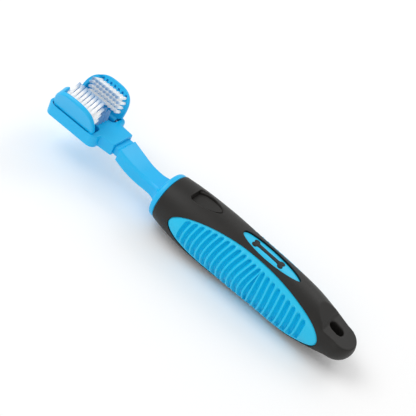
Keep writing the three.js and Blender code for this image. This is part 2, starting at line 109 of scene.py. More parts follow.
def soft_rubber(name, light, deep, grain_mm, depth_mm):
    """Overmoulded thermoplastic rubber: near-black grey with a matt, slightly dusty bloom, and the
    fine leather-like pebble of an etched tool that breaks every highlight."""
    material, tree, shader = finish_named(name)
    place = node(tree, "ShaderNodeTexCoord").outputs["Object"]
    bloom = node(tree, "ShaderNodeTexNoise", {"Vector": place}, Scale=140.0, Detail=4.0)
    tint = node(tree, "ShaderNodeMix", {"Factor": bloom.outputs["Fac"]}, data_type="RGBA")
    tint.inputs["A"].default_value, tint.inputs["B"].default_value = linear(deep), linear(light)
    tree.links.new(tint.outputs["Result"], shader.inputs["Base Color"])
    pebble = node(tree, "ShaderNodeTexVoronoi", {"Vector": place}, Scale=1000 / grain_mm,
                  feature="SMOOTH_F1")
    fine = node(tree, "ShaderNodeTexNoise", {"Vector": place}, Scale=4000 / grain_mm, Detail=2.0)
    height = node(tree, "ShaderNodeMath", {0: pebble.outputs["Distance"], 1: fine.outputs["Fac"]},
                  operation="ADD")
    bump = node(tree, "ShaderNodeBump", {"Height": height.outputs["Value"]}, Strength=0.5,
                Distance=depth_mm * MM)
    tree.links.new(bump.outputs["Normal"], shader.inputs["Normal"])
    sheen = node(tree, "ShaderNodeMapRange", {"Value": bloom.outputs["Fac"]})
    sheen.inputs["To Min"].default_value, sheen.inputs["To Max"].default_value = 0.42, 0.54
    tree.links.new(sheen.outputs["Result"], shader.inputs["Roughness"])
    shader.inputs["IOR"].default_value = 1.5
    shader.inputs["Specular IOR Level"].default_value = 0.36
    return material


BLACK = soft_rubber("moulded_black_thermoplastic_rubber", "1F1D1A", "151412", 0.45, 0.05)
INK = soft_rubber("moulded_black_mark", "1A1918", "121211", 0.5, 0.03)


def nylon(name, colour, painted_shade_colour, clear, painted_shade_mm):
    """Extruded nylon filament: smooth, waxy and half clear. A tuft is bright where it catches the
    light; towards the brush's middle, where its tips lie, it turns a painted bluish grey (painted shade
    and painted blue reflection), and a faint emission gives it a painted glow."""
    material, tree, shader = finish_named(name)
    place = node(tree, "ShaderNodeTexCoord").outputs["Object"]
    across = node(tree, "ShaderNodeSeparateXYZ", {"Vector": place})
    from_middle = node(tree, "ShaderNodeMath", {0: across.outputs["Y"]}, operation="ABSOLUTE")
    # Painted shade and painted blue reflection: the colour darkens to a bluish grey towards the brush's
    # middle.
    root = node(tree, "ShaderNodeMapRange", {"Value": from_middle.outputs["Value"]})
    root.inputs["From Min"].default_value = painted_shade_mm[0] * MM
    root.inputs["From Max"].default_value = painted_shade_mm[1] * MM
    tint = node(tree, "ShaderNodeMix", {"Factor": root.outputs["Result"]}, data_type="RGBA")
    tint.inputs["A"].default_value, tint.inputs["B"].default_value = linear(painted_shade_colour), linear(colour)
    tree.links.new(tint.outputs["Result"], shader.inputs["Base Color"])
    shader.inputs["Roughness"].default_value = 0.38
    shader.inputs["IOR"].default_value = 1.53
    shader.inputs["Transmission Weight"].default_value = clear
    # Painted glow: a faint emission brightens the filament as painted light.
    tree.links.new(tint.outputs["Result"], shader.inputs["Emission Color"])
    shader.inputs["Emission Strength"].default_value = 0.1
    return material


# Each second colour is painted shade and painted blue reflection towards the brush's middle; both nylons
# also carry a faint painted glow.
WHITE_NYLON = nylon("extruded_white_nylon", "FFFFFF", "78AED8", 0.1, (4.6, 8.8))
CLEAR_NYLON = nylon("extruded_clear_nylon", "A2C8E6", "86B6DC", 0.6, (0.0, 5.0))


# ---- dimensions, all in millimetres ----
# Grip stations: place along X, half width, half height and height of the section's centre.
GRIP_STATIONS = [
    (-95, 10.3, 9.1, 13.7), (-84, 13.1, 11.6, 13.7), (-70, 15.5, 14.2, 13.9), (-50, 16.8, 15.2, 14.9),
    (-25, 17.2, 15.8, 15.5), (0, 16.9, 15.9, 15.8), (12, 16.2, 15.0, 16.3), (21.5, 15.0, 13.6, 17.0),
]
GRIP_FRONT, GRIP_TAIL = 21.5, -105.0
PANEL = {"x": -38.8, "z": 15.3, "length": 49.5, "height": 13.7, "slope": 0.045, "rear_power": 2.15}
PANEL_BED = 3.5
PANEL_NEAREST_Y = 6.7
LABEL = {"x": -41.0, "front": (17.2, 1.7, 0.4), "rear": (21.8, 1.85, 0.6), "width": 5.1, "sunk": 1.0,
         "thick": 1.2}
DISH = {"front": 10.0, "rear": -10.0, "width": 7.0, "front_depth": 4.2, "rear_depth": 0.7}
# The scoop's floor from front to rear: steep down from the crown, then nearly flat round the hole.
SCOOP = [(-74.5, 28.3), (-84.6, 22.9), (-86.8, 20.8), (-106, 17.0)]
HOLE = {"x": -91.3, "length": 8.9, "width": 5.7}
TRAY_TOP, TRAY_DEPTH = 27.3, 7.9
PIN = {"y": 11.3, "z": 24.9, "radius": 0.8, "rear": 71.4, "front": 104.3}
FLARE = math.radians(21)
PAD = {"x": 87.6, "front": (14.0, 2.5), "rear": (15.2, 3.2), "height": 16.0, "thick": 2.4,
       "foot_rear": 74.9, "foot_front": 100.0}
PAD_LIP = {"start": 95.7, "foot": 1.5, "reach": 4.3, "thick": 1.7}
PAD_RIM, PAD_FACE_DEPTH = 2.6, 0.45
PIN_BORE = PIN["radius"] + 0.1
PIN_BELOW_TOP = (TRAY_TOP - PIN["z"]) / math.cos(FLARE)


def between_stations(stations, column):
    """One dimension of a row of stations as a smooth function of the place along X."""
    places = [s[0] for s in stations]
    values = [s[column] for s in stations]

    def slope(i):
        a, b = max(i - 1, 0), min(i + 1, len(places) - 1)
        return (values[b] - values[a]) / (places[b] - places[a])

    def at(x):
        i = min(max(sum(p < x for p in places), 1), len(places) - 1)
        span = places[i] - places[i - 1]
        t = (min(max(x, places[0]), places[-1]) - places[i - 1]) / span
        return ((2 * t ** 3 - 3 * t ** 2 + 1) * values[i - 1]
                + (t ** 3 - 2 * t ** 2 + t) * span * slope(i - 1)
                + (3 * t ** 2 - 2 * t ** 3) * values[i] + (t ** 3 - t ** 2) * span * slope(i))
    return at


grip_half_width = between_stations(GRIP_STATIONS, 1)
grip_half_height = between_stations(GRIP_STATIONS, 2)
grip_centre = between_stations(GRIP_STATIONS, 3)


def grip_section(x, inset=0.0):
    """Half width, half height and centre height of the grip at a place along X; the tail rounds off."""
    round_start = GRIP_STATIONS[0][0] + inset
    past = max(0.0, (round_start - x) / (round_start - (GRIP_TAIL + inset)))
    shrink = max(math.sqrt(max(0.0, 1 - past * past)), 0.02)
    return ((grip_half_width(x) - inset) * shrink, (grip_half_height(x) - inset) * shrink, grip_centre(x))


# ---- modelling by hand in code ----
def deselect():
    bpy.ops.object.select_all(action="DESELECT")


def pick(piece):
    deselect()
    piece.select_set(True)
    bpy.context.view_layer.objects.active = piece


def edit(piece):
    pick(piece)
    bpy.ops.object.mode_set(mode="EDIT")


def done():
    bpy.ops.object.mode_set(mode="OBJECT")


def settle(piece):
    """Puts a piece's place, turn and size into its mesh."""
    pick(piece)
    bpy.ops.object.transform_apply(location=True, rotation=True, scale=True)
    return piece


def modify(piece, kind, **settings):
    """Adds a modifier and applies it."""
    pick(piece)
    modifier = piece.modifiers.new(kind.lower(), kind)
    for name, value in settings.items():
        setattr(modifier, name, value)
    bpy.ops.object.modifier_apply(modifier=modifier.name)
    return piece


def cut(piece, cutter, operation="DIFFERENCE"):
    """Cuts one piece with another, joins them or keeps what they share, and clears the cutter away."""
    modify(piece, "BOOLEAN", operation=operation, object=cutter, solver="EXACT")
    bpy.data.objects.remove(cutter)
    return piece


def moulded_edges(piece, voxel_mm, passes):
    """Re-skins a piece in fine even faces and eases every edge, as a moulding tool's radii do."""
    modify(piece, "REMESH", mode="VOXEL", voxel_size=voxel_mm * MM, use_smooth_shade=True)
    modify(piece, "SMOOTH", factor=0.5, iterations=passes)
    smooth(piece)
    return piece


def smooth(piece, angle=None):
    """Shades a piece smooth, all over or only where its faces meet below an angle in degrees."""
    pick(piece)
    if angle is None:
        bpy.ops.object.shade_smooth()
    else:
        bpy.ops.object.shade_smooth_by_angle(angle=math.radians(angle))
    return piece


def swept(name, sides, rings, turn=0.0):
    """A closed body drawn along X: a filled ring is extruded from station to station.
    Each ring is place along X, half width, half height, centre height, all in mm."""
    x, half_width, half_height, centre = rings[0]
    deselect()
    bpy.ops.mesh.primitive_circle_add(vertices=sides, radius=1.0, fill_type="NGON",
                                      rotation=(0, math.pi / 2, 0))
    piece = bpy.context.object
    piece.name = name
    settle(piece)
    piece.rotation_euler.x = turn
    settle(piece)
    edit(piece)
    bpy.ops.mesh.select_all(action="SELECT")
    bpy.ops.transform.resize(value=(1, half_width * MM, half_height * MM), center_override=(0, 0, 0))
    bpy.ops.transform.translate(value=(x * MM, 0, centre * MM))
    before = rings[0]
    for ring in rings[1:]:
        move = ((ring[0] - before[0]) * MM, 0, (ring[3] - before[3]) * MM)
        bpy.ops.mesh.extrude_region_move(TRANSFORM_OT_translate={"value": move})
        bpy.ops.transform.resize(value=(1, ring[1] / before[1], ring[2] / before[2]),
                                 center_override=(ring[0] * MM, 0, ring[3] * MM))
        before = ring
    bpy.ops.mesh.select_all(action="SELECT")
    bpy.ops.mesh.normals_make_consistent(inside=False)
    done()
    return piece


def drawn_out(name, outline, low, high, across="Z"):
    """A flat outline, in mm, pulled straight from low to high: up along Z, or sideways along Y.
    A filled circle is laid out on the outline's points and extruded."""
    deselect()
    bpy.ops.mesh.primitive_circle_add(vertices=len(outline), radius=1.0, fill_type="NGON")
    piece = bpy.context.object
    piece.name = name
    for vertex, (a, b) in zip(piece.data.vertices, outline):
        vertex.co = (a * MM, b * MM, low * MM) if across == "Z" else (a * MM, low * MM, b * MM)
    edit(piece)
    bpy.ops.mesh.select_all(action="SELECT")
    pull = (0, 0, (high - low) * MM) if across == "Z" else (0, (high - low) * MM, 0)
    bpy.ops.mesh.extrude_region_move(TRANSFORM_OT_translate={"value": pull})
    bpy.ops.mesh.select_all(action="SELECT")
    bpy.ops.mesh.normals_make_consistent(inside=False)
    done()
    return piece


def box_piece(name, low, high):
    """A block between two corners, in mm."""
    size = [(b - a) * MM for a, b in zip(low, high)]
    middle = [(a + b) / 2 * MM for a, b in zip(low, high)]
    deselect()
    bpy.ops.mesh.primitive_cube_add(size=1.0, location=middle, scale=size)
    piece = bpy.context.object
    piece.name = name
    return settle(piece)


def rod_along_x(name, radius, rear, front, y, z, sides=24):
    deselect()
    bpy.ops.mesh.primitive_cylinder_add(vertices=sides, radius=radius * MM, depth=(front - rear) * MM,
                                        location=((front + rear) / 2 * MM, y * MM, z * MM),
                                        rotation=(0, math.pi / 2, 0))
    piece = bpy.context.object
    piece.name = name
    return settle(piece)


def drill_bit(radius, depth, at, vertices, turn=0.0):
    """A rod to cut a socket with, upright or turned about X, centred on a place in mm."""
    deselect()
    bpy.ops.mesh.primitive_cylinder_add(vertices=vertices, radius=radius * MM, depth=depth * MM,
                                        location=[value * MM for value in at], rotation=(turn, 0, 0))
    return settle(bpy.context.object)


def bevel_where(piece, wanted, width_mm, segments):
    """Rounds the edges that wanted(middle in mm, direction) picks."""
    edit(piece)
    bpy.ops.mesh.select_all(action="DESELECT")
    bpy.ops.mesh.select_mode(type="EDGE")
    done()
    mesh = piece.data
    for edge in mesh.edges:
        a, b = (mesh.vertices[i].co for i in edge.vertices)
        edge.select = wanted((a + b) / 2 / MM, (b - a).normalized())
    edit(piece)
    bpy.ops.mesh.bevel(offset=width_mm * MM, segments=segments, affect="EDGES")
    done()
    return piece


def copy_of(piece, name):
    made = piece.copy()
    made.data = piece.data.copy()
    made.name = name
    bpy.context.scene.collection.objects.link(made)
    return made


def joined(name, parts):
    deselect()
    for part in parts:
        part.select_set(True)
    bpy.context.view_layer.objects.active = parts[0]
    bpy.ops.object.join()
    parts[0].name = name
    return parts[0]


def mirrored(piece, name):
    """The same piece for the right side."""
    made = copy_of(piece, name)
    made.scale = (1, -1, 1)
    settle(made)
    edit(made)
    bpy.ops.mesh.select_all(action="SELECT")
    bpy.ops.mesh.normals_make_consistent(inside=False)
    done()
    return made


def fit_out(piece, body, look, slot, *nodes):
    """Gives a finished piece its material, the body it rides on and the CAD nodes it stands for."""
    piece.data.materials.clear()
    piece.data.materials.append(look)
    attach(piece, body)
    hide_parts(*nodes)
    return piece


# ---- grip ----
def grip_rings(inset, front, rear, steps):
    """Stations along the grip, closer together where the tail rounds off."""
    rings = []
    for i in range(steps + 1):
        x = front + (rear - front) * math.sin(i / steps * math.pi / 2)
        rings.append((x, *grip_section(x, inset)))
    return rings


def grip_body(name, inset=0.0, sides=96, steps=60):
    return swept(name, sides, grip_rings(inset, GRIP_FRONT, GRIP_TAIL + inset, steps))


def panel_outline(grow, count=120):
    points = []
    for i in range(count):
        angle = 2 * math.pi * i / count
        c, s = math.cos(angle), math.sin(angle)
        power = 2 / PANEL["rear_power"] if c < 0 else 1
        along = (PANEL["length"] + grow) * math.copysign(abs(c) ** power, c)
        height = (PANEL["height"] + grow) * math.copysign(abs(s) ** power, s)
        points.append((PANEL["x"] + along, PANEL["z"] + along * PANEL["slope"] + height))
    return points


def label_point(share, grow=0.0):
    """Place along X and half width of the leaf-shaped plate, from -1 at its rear tip to 1 at its front."""
    length, power, tip = LABEL["front"] if share > 0 else LABEL["rear"]
    return (LABEL["x"] + share * (length + grow),
            (LABEL["width"] + grow) * max(0.0, 1 - abs(share) ** power) ** tip)


def label_outline(grow, count=40):
    shares = [math.cos(math.pi * i / count) for i in range(count + 1)]
    there = [label_point(share, grow) for share in shares]
    return there + [(x, -half) for x, half in reversed(there[1:-1])]


def dish_outline(shrink, count=32):
    length = DISH["front"] - DISH["rear"] - 1.3 * shrink
    points = []
    for i in range(2 * count + 1):
        t = abs(i / count - 1)
        side = -1 if i < count else 1
        width = (DISH["width"] - shrink) * (1 - t ** 2.6) ** 0.6 * min(1, 0.72 + t)
        if i != count:
            points.append((DISH["front"] - 0.3 * shrink - length * t, side * width))
    return points


CROWN = grip_centre(0) + grip_half_height(0)


def dish_space(name, shrink, lift):
    """The room above the thumb dish's floor, which falls towards the head."""
    floor = [
        (DISH["rear"] - 2, CROWN - DISH["rear_depth"] + 0.2 + lift),
        (DISH["rear"], CROWN - DISH["rear_depth"] + lift),
        (DISH["front"], CROWN - DISH["front_depth"] + lift),
        (DISH["front"] + 2, CROWN - DISH["front_depth"] - 0.3 + lift),
        (DISH["front"] + 2, 40), (DISH["rear"] - 2, 40),
    ]
    space = drawn_out(name, dish_outline(shrink), 0, 40)
    return cut(space, drawn_out("dish_floor", floor, -20, 20, across="Y"), "INTERSECT")


def soft_grip():
    """The black overmoulded grip with its pockets, thumb dish, scooped tail and hanging hole."""
    grip = grip_body("soft_grip")
    edit(grip)
    bpy.ops.mesh.select_all(action="SELECT")
    bpy.ops.mesh.bisect(plane_co=(0, 0, 0.1 * MM), plane_no=(0, 0, -1), use_fill=True, clear_outer=True)
    done()
    # The dish has a shallow shelf all round and a deeper floor inside it.
    cut(grip, dish_space("dish_shelf", 0, 1.7))
    cut(grip, dish_space("dish", 1.25, 0))
    above = [(SCOOP[-1][0], 45), (SCOOP[0][0], 45)]
    cut(grip, drawn_out("scoop", [*SCOOP, *above], -30, 30, across="Y"))
    ends = HOLE["length"] / 2 - HOLE["width"] / 2
    slot_outline = []
    for i in range(32):
        angle = 2 * math.pi * (i + 0.5) / 32
        shift = ends if math.cos(angle) > 0 else -ends
        slot_outline.append((HOLE["x"] + shift + HOLE["width"] / 2 * math.cos(angle),
                             HOLE["width"] / 2 * math.sin(angle)))
    cut(grip, drawn_out("hang_hole", slot_outline, -5, 40))
    moulded_edges(grip, 0.4, 3)
    # The pockets for the panels and the name plate keep the sharp edges of a shut-off.
    for side in (1, -1):
        low, high = (PANEL_NEAREST_Y, 30) if side > 0 else (-30, -PANEL_NEAREST_Y)
        pocket = drawn_out("panel_pocket", panel_outline(0.15), low, high, across="Y")
        cut(pocket, grip_body("panel_bed", PANEL_BED, 64, 40))
        cut(grip, pocket)
    pocket = drawn_out("label_pocket", label_outline(0.12), 20, 40)
    cut(pocket, grip_body("label_bed", LABEL["sunk"] + LABEL["thick"], 64, 40))
    cut(grip, pocket)
    smooth(grip, 40)
    return fit_out(grip, "handle", BLACK, "black_soft_grip", "grip_sleeve")


# ---- ribbed side panels ----
FRONT_RIBS = [3.59 - 3.59 * i for i in range(14)]
REAR_RIBS = [-46.5 - 3.68 * i for i in range(10)]
RIBS = FRONT_RIBS + REAR_RIBS
RIB_MID_Z = 13.5
# The lens-shaped groove between the two sets of ribs.
LENS_X = -44.8
LENS_HALF = 1.75
GROOVE_DEPTH = 2.2
CREST_SHARE = 0.12
# Smooth border above and below the ribs, by place along X.
MARGIN = [(-62, 1.9), (-22, 0.6)]
PANEL_INSET = 0.3
PANEL_EDGE_RADIUS = 0.55
PANEL_THICKNESS = 0.8
# How much each rib line is bowed, by place along X.
BOWS = [(-89, 0), (-79.6, -0.016), (-50, -0.0135), (-46.5, -0.0105), (-43.1, 0.0125), (-36, 0.0165),
        (-22, 0.0125), (0, 0.011), (11, 0)]


def ramp(points, x):
    """Straight lines between points."""
    if x <= points[0][0]:
        return points[0][1]
    for (a, low), (b, high) in zip(points, points[1:]):
        if x <= b:
            return low + (high - low) * (x - a) / (b - a)
    return points[-1][1]


def rib_line(start, z):
    """Where the rib line that crosses the panel's middle at start has got to at height z."""
    bend = (z - RIB_MID_Z) ** 2
    limit = 148 + 45 * max(0.0, abs(start - LENS_X) - LENS_HALF)
    return start - ramp(BOWS, start) * bend / (1 + (bend / limit) ** 6) ** (1 / 6)


def panel_reach(x, z):
    """How far out a point is on the panel: 0 at its middle, 1 on its edge."""
    across = (x - PANEL["x"]) / PANEL["length"]
    up = (z - PANEL["z"] - PANEL["slope"] * (x - PANEL["x"])) / PANEL["height"]
    power = PANEL["rear_power"] if across < 0 else 2
    return (abs(across) ** power + abs(up) ** power) ** (1 / power)


def panel_edge(start, direction):
    """Height where the rib line from start meets the panel's edge."""
    inside = PANEL["z"] + PANEL["slope"] * (start - PANEL["x"])
    outside = inside + direction * 16
    for _ in range(30):
        middle = (inside + outside) / 2
        if panel_reach(rib_line(start, middle), middle) < 1:
            inside = middle
        else:
            outside = middle
    return inside


def ease(value):
    value = min(max(value, 0.0), 1.0)
    return value * value * (3 - 2 * value)


def panel_columns():
    """Start of every column of faces with its share of the groove's depth."""
    columns = [(PANEL["x"] + PANEL["length"] * math.cos(a), 0.0)
               for a in [0.05 + (0.67 - 0.05) * i / 15 for i in range(15)]]
    columns = [c for c in columns if c[0] > RIBS[0] + 0.3]
    shares = (0, 0.06, 0.12, 0.2, 0.3, 0.4, 0.5, 0.6, 0.7, 0.8, 0.88, 0.94)
    for a, b in zip(RIBS, RIBS[1:]):
        for share in shares:
            inner = min(max((share - CREST_SHARE) / (1 - 2 * CREST_SHARE), 0), 1)
            columns.append((a + (b - a) * share, math.sin(math.pi * inner) ** 1.1))
    last = RIBS[-1]
    rear = PANEL["x"] - PANEL["length"] * 0.9985
    columns += [(last + (rear - last) * math.sin(i / 16 * math.pi / 2), 0.0) for i in range(17)]
    return columns


def ribbed_panel():
    """Left side panel: a moulded skin that follows the grip, with two sets of bowed finger ribs that
    turn their backs on each other."""
    columns = panel_columns()
    edge_shares = (0, 0.004, 0.011, 0.022, 0.04)
    inner = [0.07 + 0.86 * i / 40 for i in range(41)]
    rows = [*edge_shares, *inner, *[1 - s for s in reversed(edge_shares)]]
    deselect()
    bpy.ops.mesh.primitive_grid_add(x_subdivisions=len(columns) - 1, y_subdivisions=len(rows) - 1, size=1)
    panel = bpy.context.object
    panel.name = "left_grip_panel_skin"
    wide = len(columns)
    for i, (start, depth_share) in enumerate(columns):
        low, high = panel_edge(start, -1), panel_edge(start, 1)
        half_height, centre = grip_half_height(start), grip_centre(start)
        turn = [math.asin(max(-1, min(1, (z - centre) / half_height))) for z in (low, high)]
        gap = 3.6
        for j, share in enumerate(rows):
            z = centre + half_height * math.sin(turn[0] + (turn[1] - turn[0]) * share)
            z = min(max(z, low), high)
            x = rib_line(start, z)
            reach = panel_reach(x, z)
            margin = ramp(MARGIN, x)
            top, bottom = high - margin, low + margin
            window = ease((top - z) / 2.4) * ease((z - bottom) / 2.0)
            if abs(start - LENS_X) < LENS_HALF:
                gap = rib_line(FRONT_RIBS[-1], z) - rib_line(REAR_RIBS[0], z)
            groove = GROOVE_DEPTH * depth_share * window * min(1.0, gap / 2.6)
            from_edge = (1 - reach) * PANEL["height"] * 1.15
            short = max(0.0, PANEL_EDGE_RADIUS - from_edge)
            round_off = PANEL_EDGE_RADIUS - math.sqrt(max(0.0, PANEL_EDGE_RADIUS ** 2 - short ** 2))
            half_width, tall, middle = grip_section(x, PANEL_INSET + groove + round_off)
            lean = min(abs(z - middle) / tall, 0.999)
            panel.data.vertices[j * wide + i].co = (
                x * MM, half_width * math.sqrt(1 - lean ** 2) * MM, z * MM)
    edit(panel)
    bpy.ops.mesh.select_all(action="SELECT")
    bpy.ops.mesh.normals_make_consistent(inside=False)
    done()
    if sum(p.normal.y for p in panel.data.polygons) < 0:
        panel.data.flip_normals()
    modify(panel, "SOLIDIFY", thickness=PANEL_THICKNESS * MM, offset=-1.0)
    return smooth(panel, 50)


def side_panels():
    left = ribbed_panel()
    right = mirrored(left, "right_grip_panel_skin")
    smooth(right, 50)
    fit_out(left, "handle", PANEL_BLUE, "blue_panel", "left_grip_panel")
    fit_out(right, "handle", PANEL_BLUE, "blue_panel", "right_grip_panel")


# ---- name plate without a name ----
LABEL_EDGE_RADIUS = 0.4
BONE_KNOB = {"x": 8.6, "y": 1.3, "radius": 1.65}


def crown_height(x, y, inset):
    half_width, half_height, centre = grip_section(x, inset)
    return centre + half_height * math.sqrt(max(0.0, 1 - (y / half_width) ** 2))


def label():
    """Leaf-shaped plate let into the back of the grip, with a plain bone mark in place of a name."""
    across, along = 17, 61
    deselect()
    bpy.ops.mesh.primitive_grid_add(x_subdivisions=along - 1, y_subdivisions=across - 1, size=1)
    plate = bpy.context.object
    plate.name = "label_plate_skin"
    for j in range(across):
        for i in range(along):
            x, half = label_point(math.sin((i / (along - 1) - 0.5) * math.pi) * 0.995)
            y = math.sin((j / (across - 1) - 0.5) * math.pi) * half
            short = max(0.0, LABEL_EDGE_RADIUS - (half - abs(y)))
            drop = LABEL_EDGE_RADIUS - math.sqrt(max(0.0, LABEL_EDGE_RADIUS ** 2 - short ** 2))
            plate.data.vertices[j * along + i].co = (
                x * MM, y * MM, (crown_height(x, y, LABEL["sunk"]) - drop) * MM)
    modify(plate, "SOLIDIFY", thickness=0.9 * MM, offset=-1.0)
    smooth(plate, 50)
    fit_out(plate, "handle", PANEL_BLUE, "blue_panel", "label_plate")

    parts = []
    for along_x in (-BONE_KNOB["x"], BONE_KNOB["x"]):
        for across_y in (-BONE_KNOB["y"], BONE_KNOB["y"]):
            deselect()
            bpy.ops.mesh.primitive_uv_sphere_add(segments=32, ring_count=16, radius=BONE_KNOB["radius"] * MM,
                                                 location=(along_x * MM, across_y * MM, 0))
            parts.append(settle(bpy.context.object))
    shaft = swept("bone_shaft", 32, [(-9, 1.8, 1.8, 0), (-6, 1.4, 1.4, 0), (0, 1.25, 1.25, 0),
                                     (6, 1.4, 1.4, 0), (9, 1.8, 1.8, 0)])
    bone = joined("bone_mark", [shaft, *parts])
    moulded_edges(bone, 0.16, 3)
    for vertex in bone.data.vertices:
        x, y = vertex.co.x / MM + LABEL["x"], vertex.co.y / MM
        vertex.co = (x * MM, y * MM, (crown_height(x, y, LABEL["sunk"]) + 0.05) * MM + vertex.co.z * 0.2)
    bone.data.materials.clear()
    bone.data.materials.append(INK)
    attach(bone, "handle")


def thumb_rest():
    """The pebbled floor that lies in the thumb dish."""
    rest = dish_space("thumb_rest", 1.9, 0.1)
    cut(rest, dish_space("above_rest", 0.5, 0.8))
    moulded_edges(rest, 0.25, 3)
    return fit_out(rest, "handle", BLACK, "black_soft_grip", "thumb_pad")


# ---- neck ----
# Neck stations: place along X, half width, height of the top and depth.
NECK_STATIONS = [
    (24.4, 11.4, 23.9, 13.9), (25.4, 9.5, 22.9, 11.7), (26.6, 8.1, 22.2, 10.3), (28.4, 7.1, 21.8, 9.2),
    (31, 6.6, 21.6, 8.5), (34, 6.4, 21.5, 8.3), (41, 6.8, 21.9, 8.4), (49.3, 7.6, 23.7, 8.4),
    (57.2, 7.8, 26.2, 8.3),
]
# Collar and hidden core: place along X, half width, half height and height of the centre.
COLLAR = [(21.65, 14.7, 13.3, 17.0), (23.5, 14.7, 13.3, 17.0), (24.2, 14.5, 13.1, 17.0),
          (24.7, 14.2, 12.8, 17.0), (25.05, 13.7, 12.3, 17.0), (25.2, 13.0, 11.6, 17.0)]
CORE = [(23, 10, 8.6, 17.0), (-10, 11, 10, 15.8), (-60, 10, 9, 14.4), (-78, 6, 6, 13.9)]
TONGUE = {"half_width": 6.4, "depth": 5.4, "tip": 68.0, "middle": 22.65}
TONGUE_PLAY = 0.15


def square_sweep(name, rings):
    """A bar of square section drawn along X. Each ring is place, half width, half height, centre."""
    root = math.sqrt(2)
    return swept(name, 4, [(x, w * root, h * root, c) for x, w, h, c in rings], turn=math.pi / 4)


def neck():
    """Blue collar, curved neck and the tongue that the brush head pushes onto."""
    half_width = between_stations(NECK_STATIONS, 1)
    top = between_stations(NECK_STATIONS, 2)
    depth = between_stations(NECK_STATIONS, 3)
    rings = []
    rear, front = NECK_STATIONS[0][0], NECK_STATIONS[-1][0]
    for i in range(29):
        x = rear + (front - rear) * (i / 28) ** 1.3
        rings.append((x, half_width(x), depth(x) / 2, top(x) - depth(x) / 2))
    piece = square_sweep("blue_neck", rings)
    bevel_where(piece, lambda middle, way: abs(way.x) > 0.7, 1.3, 1)
    bevel_where(piece, lambda middle, way: middle.x > front - 0.1, 0.45, 3)
    cut(piece, swept("collar", 96, COLLAR), "UNION")
    tongue = box_piece("tongue", (55.5, -TONGUE["half_width"], TONGUE["middle"] - TONGUE["depth"] / 2),
                       (TONGUE["tip"], TONGUE["half_width"], TONGUE["middle"] + TONGUE["depth"] / 2))
    bevel_where(tongue, lambda middle, way: abs(way.x) > 0.7, 0.6, 3)
    cut(piece, tongue, "UNION")
    cut(piece, swept("core", 48, CORE), "UNION")
    moulded_edges(piece, 0.36, 2)
    return fit_out(piece, "handle", BLUE, "blue_plastic", "neck_core")


# ---- brush head ----
def rounded_rectangle(rear, front, half_width, corner, middle_y=0.0, steps=10):
    points = []
    ahead, behind, out = front - corner, rear + corner, half_width - corner
    for quarter, (x, y) in enumerate(((ahead, out), (behind, out), (behind, -out), (ahead, -out))):
        for i in range(steps + 1):
            angle = math.pi / 2 * (quarter + i / steps)
            points.append((x + corner * math.cos(angle), middle_y + y + corner * math.sin(angle)))
    return points


CENTRE_ROWS = {"far_left": 3.75, "left": 1.25, "right": -1.25, "far_right": -3.75}
TUFT_PITCH = 2.5
CENTRE_TUFTS = [88.5 + (i - 4.5) * TUFT_PITCH for i in range(10)]
# Rows of a side pad: height above the tray's top along the pad, length and number of the tufts.
PAD_ROWS = {"low": (3.0, 5.2, 9), "middle": (5.8, 7.0, 9), "high": (8.6, 9.2, 9), "rim": (11.2, 11.0, 8)}
PAD_ROWS_X = 85.8
ROW_TILT = math.radians(5)
SOCKET_RADIUS = 0.95
# The bowed line of sockets that hold no tuft.
EMPTY_SOCKETS = {"count": 7, "rear": 77.2, "pitch": 2.9, "height": 13.1, "bow": 0.006, "middle": 87,
                 "radius": 0.75}


def pad_row_places(count):
    """Places along X of the tufts in a row."""
    return [PAD_ROWS_X + (i - (count - 1) / 2) * TUFT_PITCH for i in range(count)]


def brush_tray():
    """Rounded tray with a tapered block behind it, a slot down each side for the pads and a socket for
    every centre tuft."""
    tray = drawn_out("brush_tray", rounded_rectangle(69.5, 105, 14.4, 4), TRAY_TOP - TRAY_DEPTH, TRAY_TOP)
    bevel_where(tray, lambda middle, way: abs(way.z) < 0.1, 0.6, 3)
    block = drawn_out("block", [(60.5, -8.2), (73, -9.3), (73, 9.3), (60.5, 8.2)], TRAY_TOP - TRAY_DEPTH,
                      TRAY_TOP)
    bevel_where(block, lambda middle, way: middle.x < 72, 0.55, 3)
    cut(tray, block, "UNION")
    for side in (1, -1):
        slot = drawn_out("slot", rounded_rectangle(72.9, 102.9, 4.3, 2.6, side * 9.5), TRAY_TOP - 5.6, 40)
        cut(tray, slot)
        cut(tray, rod_along_x("bore", PIN_BORE, PIN["rear"], PIN["front"], side * PIN["y"], PIN["z"]))
    wide, deep = TONGUE["half_width"] + TONGUE_PLAY, TONGUE["depth"] / 2 + TONGUE_PLAY
    cut(tray, box_piece("socket", (55, -wide, TONGUE["middle"] - deep),
                        (TONGUE["tip"] + 0.3, wide, TONGUE["middle"] + deep)))
    drills = []
    for y in CENTRE_ROWS.values():
        for x in CENTRE_TUFTS:
            drills.append(drill_bit(SOCKET_RADIUS, 2.4, (x, y, TRAY_TOP), 14))
    cut(tray, joined("drills", drills))
    moulded_edges(tray, 0.27, 2)
    return fit_out(tray, "head", BLUE, "blue_plastic", "head_base")


# ---- side pads: drawn upright over the pin, then leaned outwards about it ----
def arch_point(share, shrink=0.0):
    """A point on the pad's arch, from -1 at its rear foot to 1 at its front foot."""
    length, power = PAD["front"] if share > 0 else PAD["rear"]
    height = PAD["height"] * max(0.0, 1 - abs(share) ** power) ** (1 / power)
    return PAD["x"] + share * (length - shrink), PIN_BELOW_TOP + max(height - shrink, 0.9)


def pad_outline(shrink, count=44):
    arch = [arch_point(math.cos(i / count * math.pi), shrink) for i in range(count + 1)]
    return [(PAD["foot_front"], PIN_BELOW_TOP - 1.2), *arch, (PAD["foot_rear"], PIN_BELOW_TOP - 1.2)]


